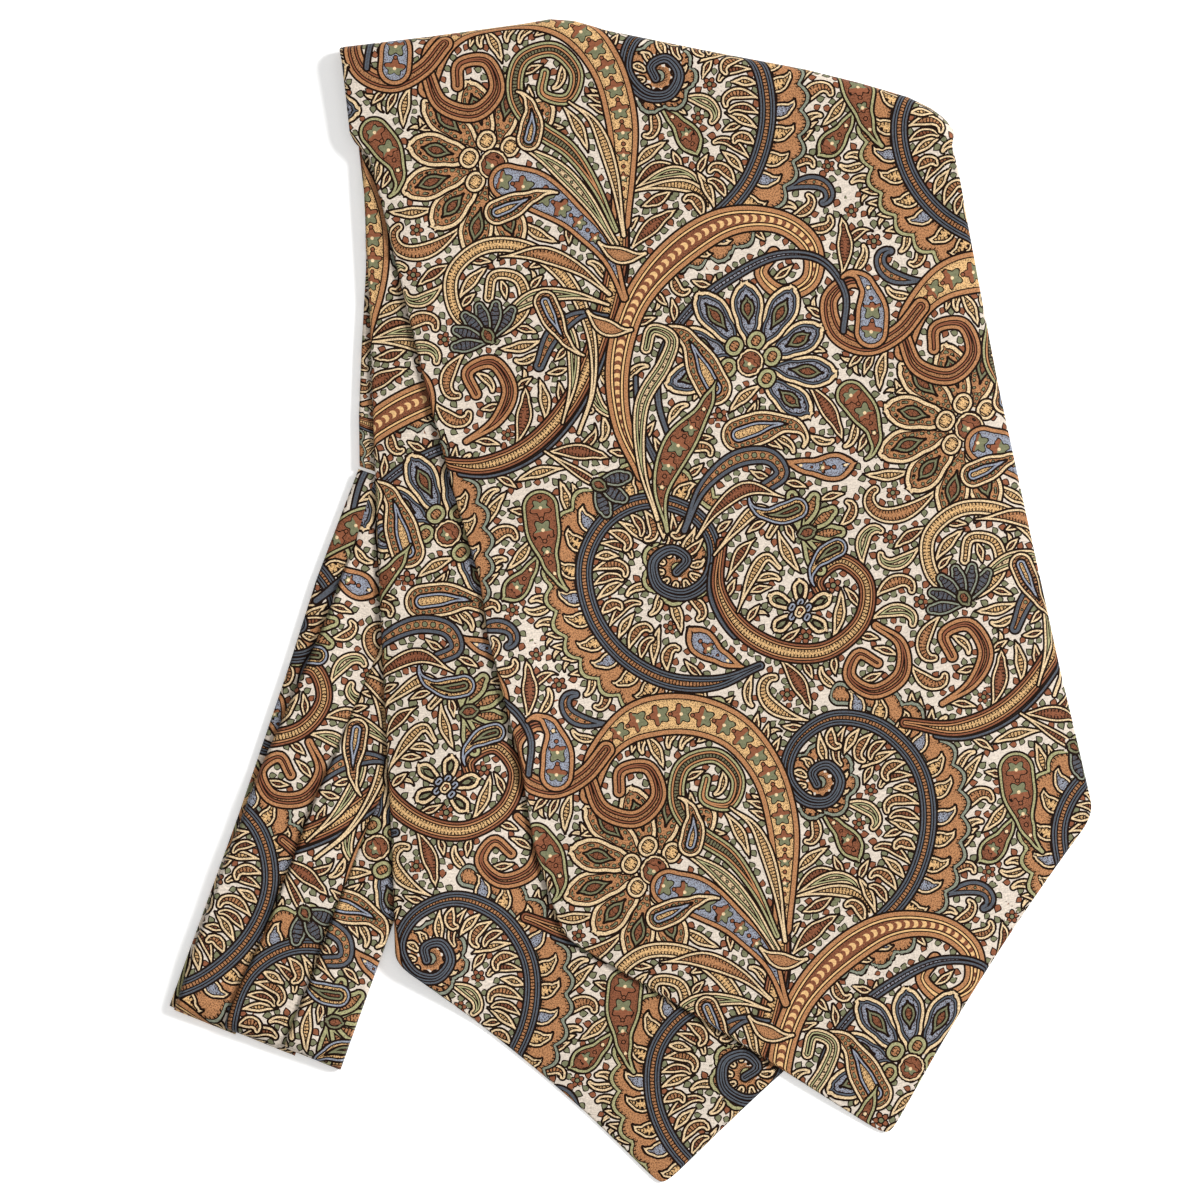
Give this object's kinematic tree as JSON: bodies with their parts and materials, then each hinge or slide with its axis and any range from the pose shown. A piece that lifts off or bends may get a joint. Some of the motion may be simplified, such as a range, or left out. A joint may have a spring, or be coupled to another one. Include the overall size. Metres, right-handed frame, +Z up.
{
  "type": "silk cravat",
  "caption": "Printed silk cravat folded in half and laid flat, one wide pointed blade over the other, with its narrow pleated neckband beside them.",
  "frame": {"origin": "centre of the part's box on the surface it lies on", "axes": "+Z up from the surface, +Y from the blades' points to the fold at the top, +X to the right seen from above"},
  "size_m": [0.2724, 0.3435, 0.009],
  "materials": {
    "front_silk": "printed silk twill, soft sheen, paisley on a cream ground",
    "under_silk": "printed silk twill, soft sheen, paisley on a cream ground",
    "neckband_silk": "printed silk twill, pressed into lapped pleats",
    "back_silk": "printed silk twill, the hidden back stretches"
  },
  "bodies": {
    "root": {"front_blade": "front_silk", "under_blade": "under_silk", "neckband_upper": "neckband_silk", "neckband_lower": "neckband_silk", "folded_layers": "back_silk"}
  },
  "joints": []
}
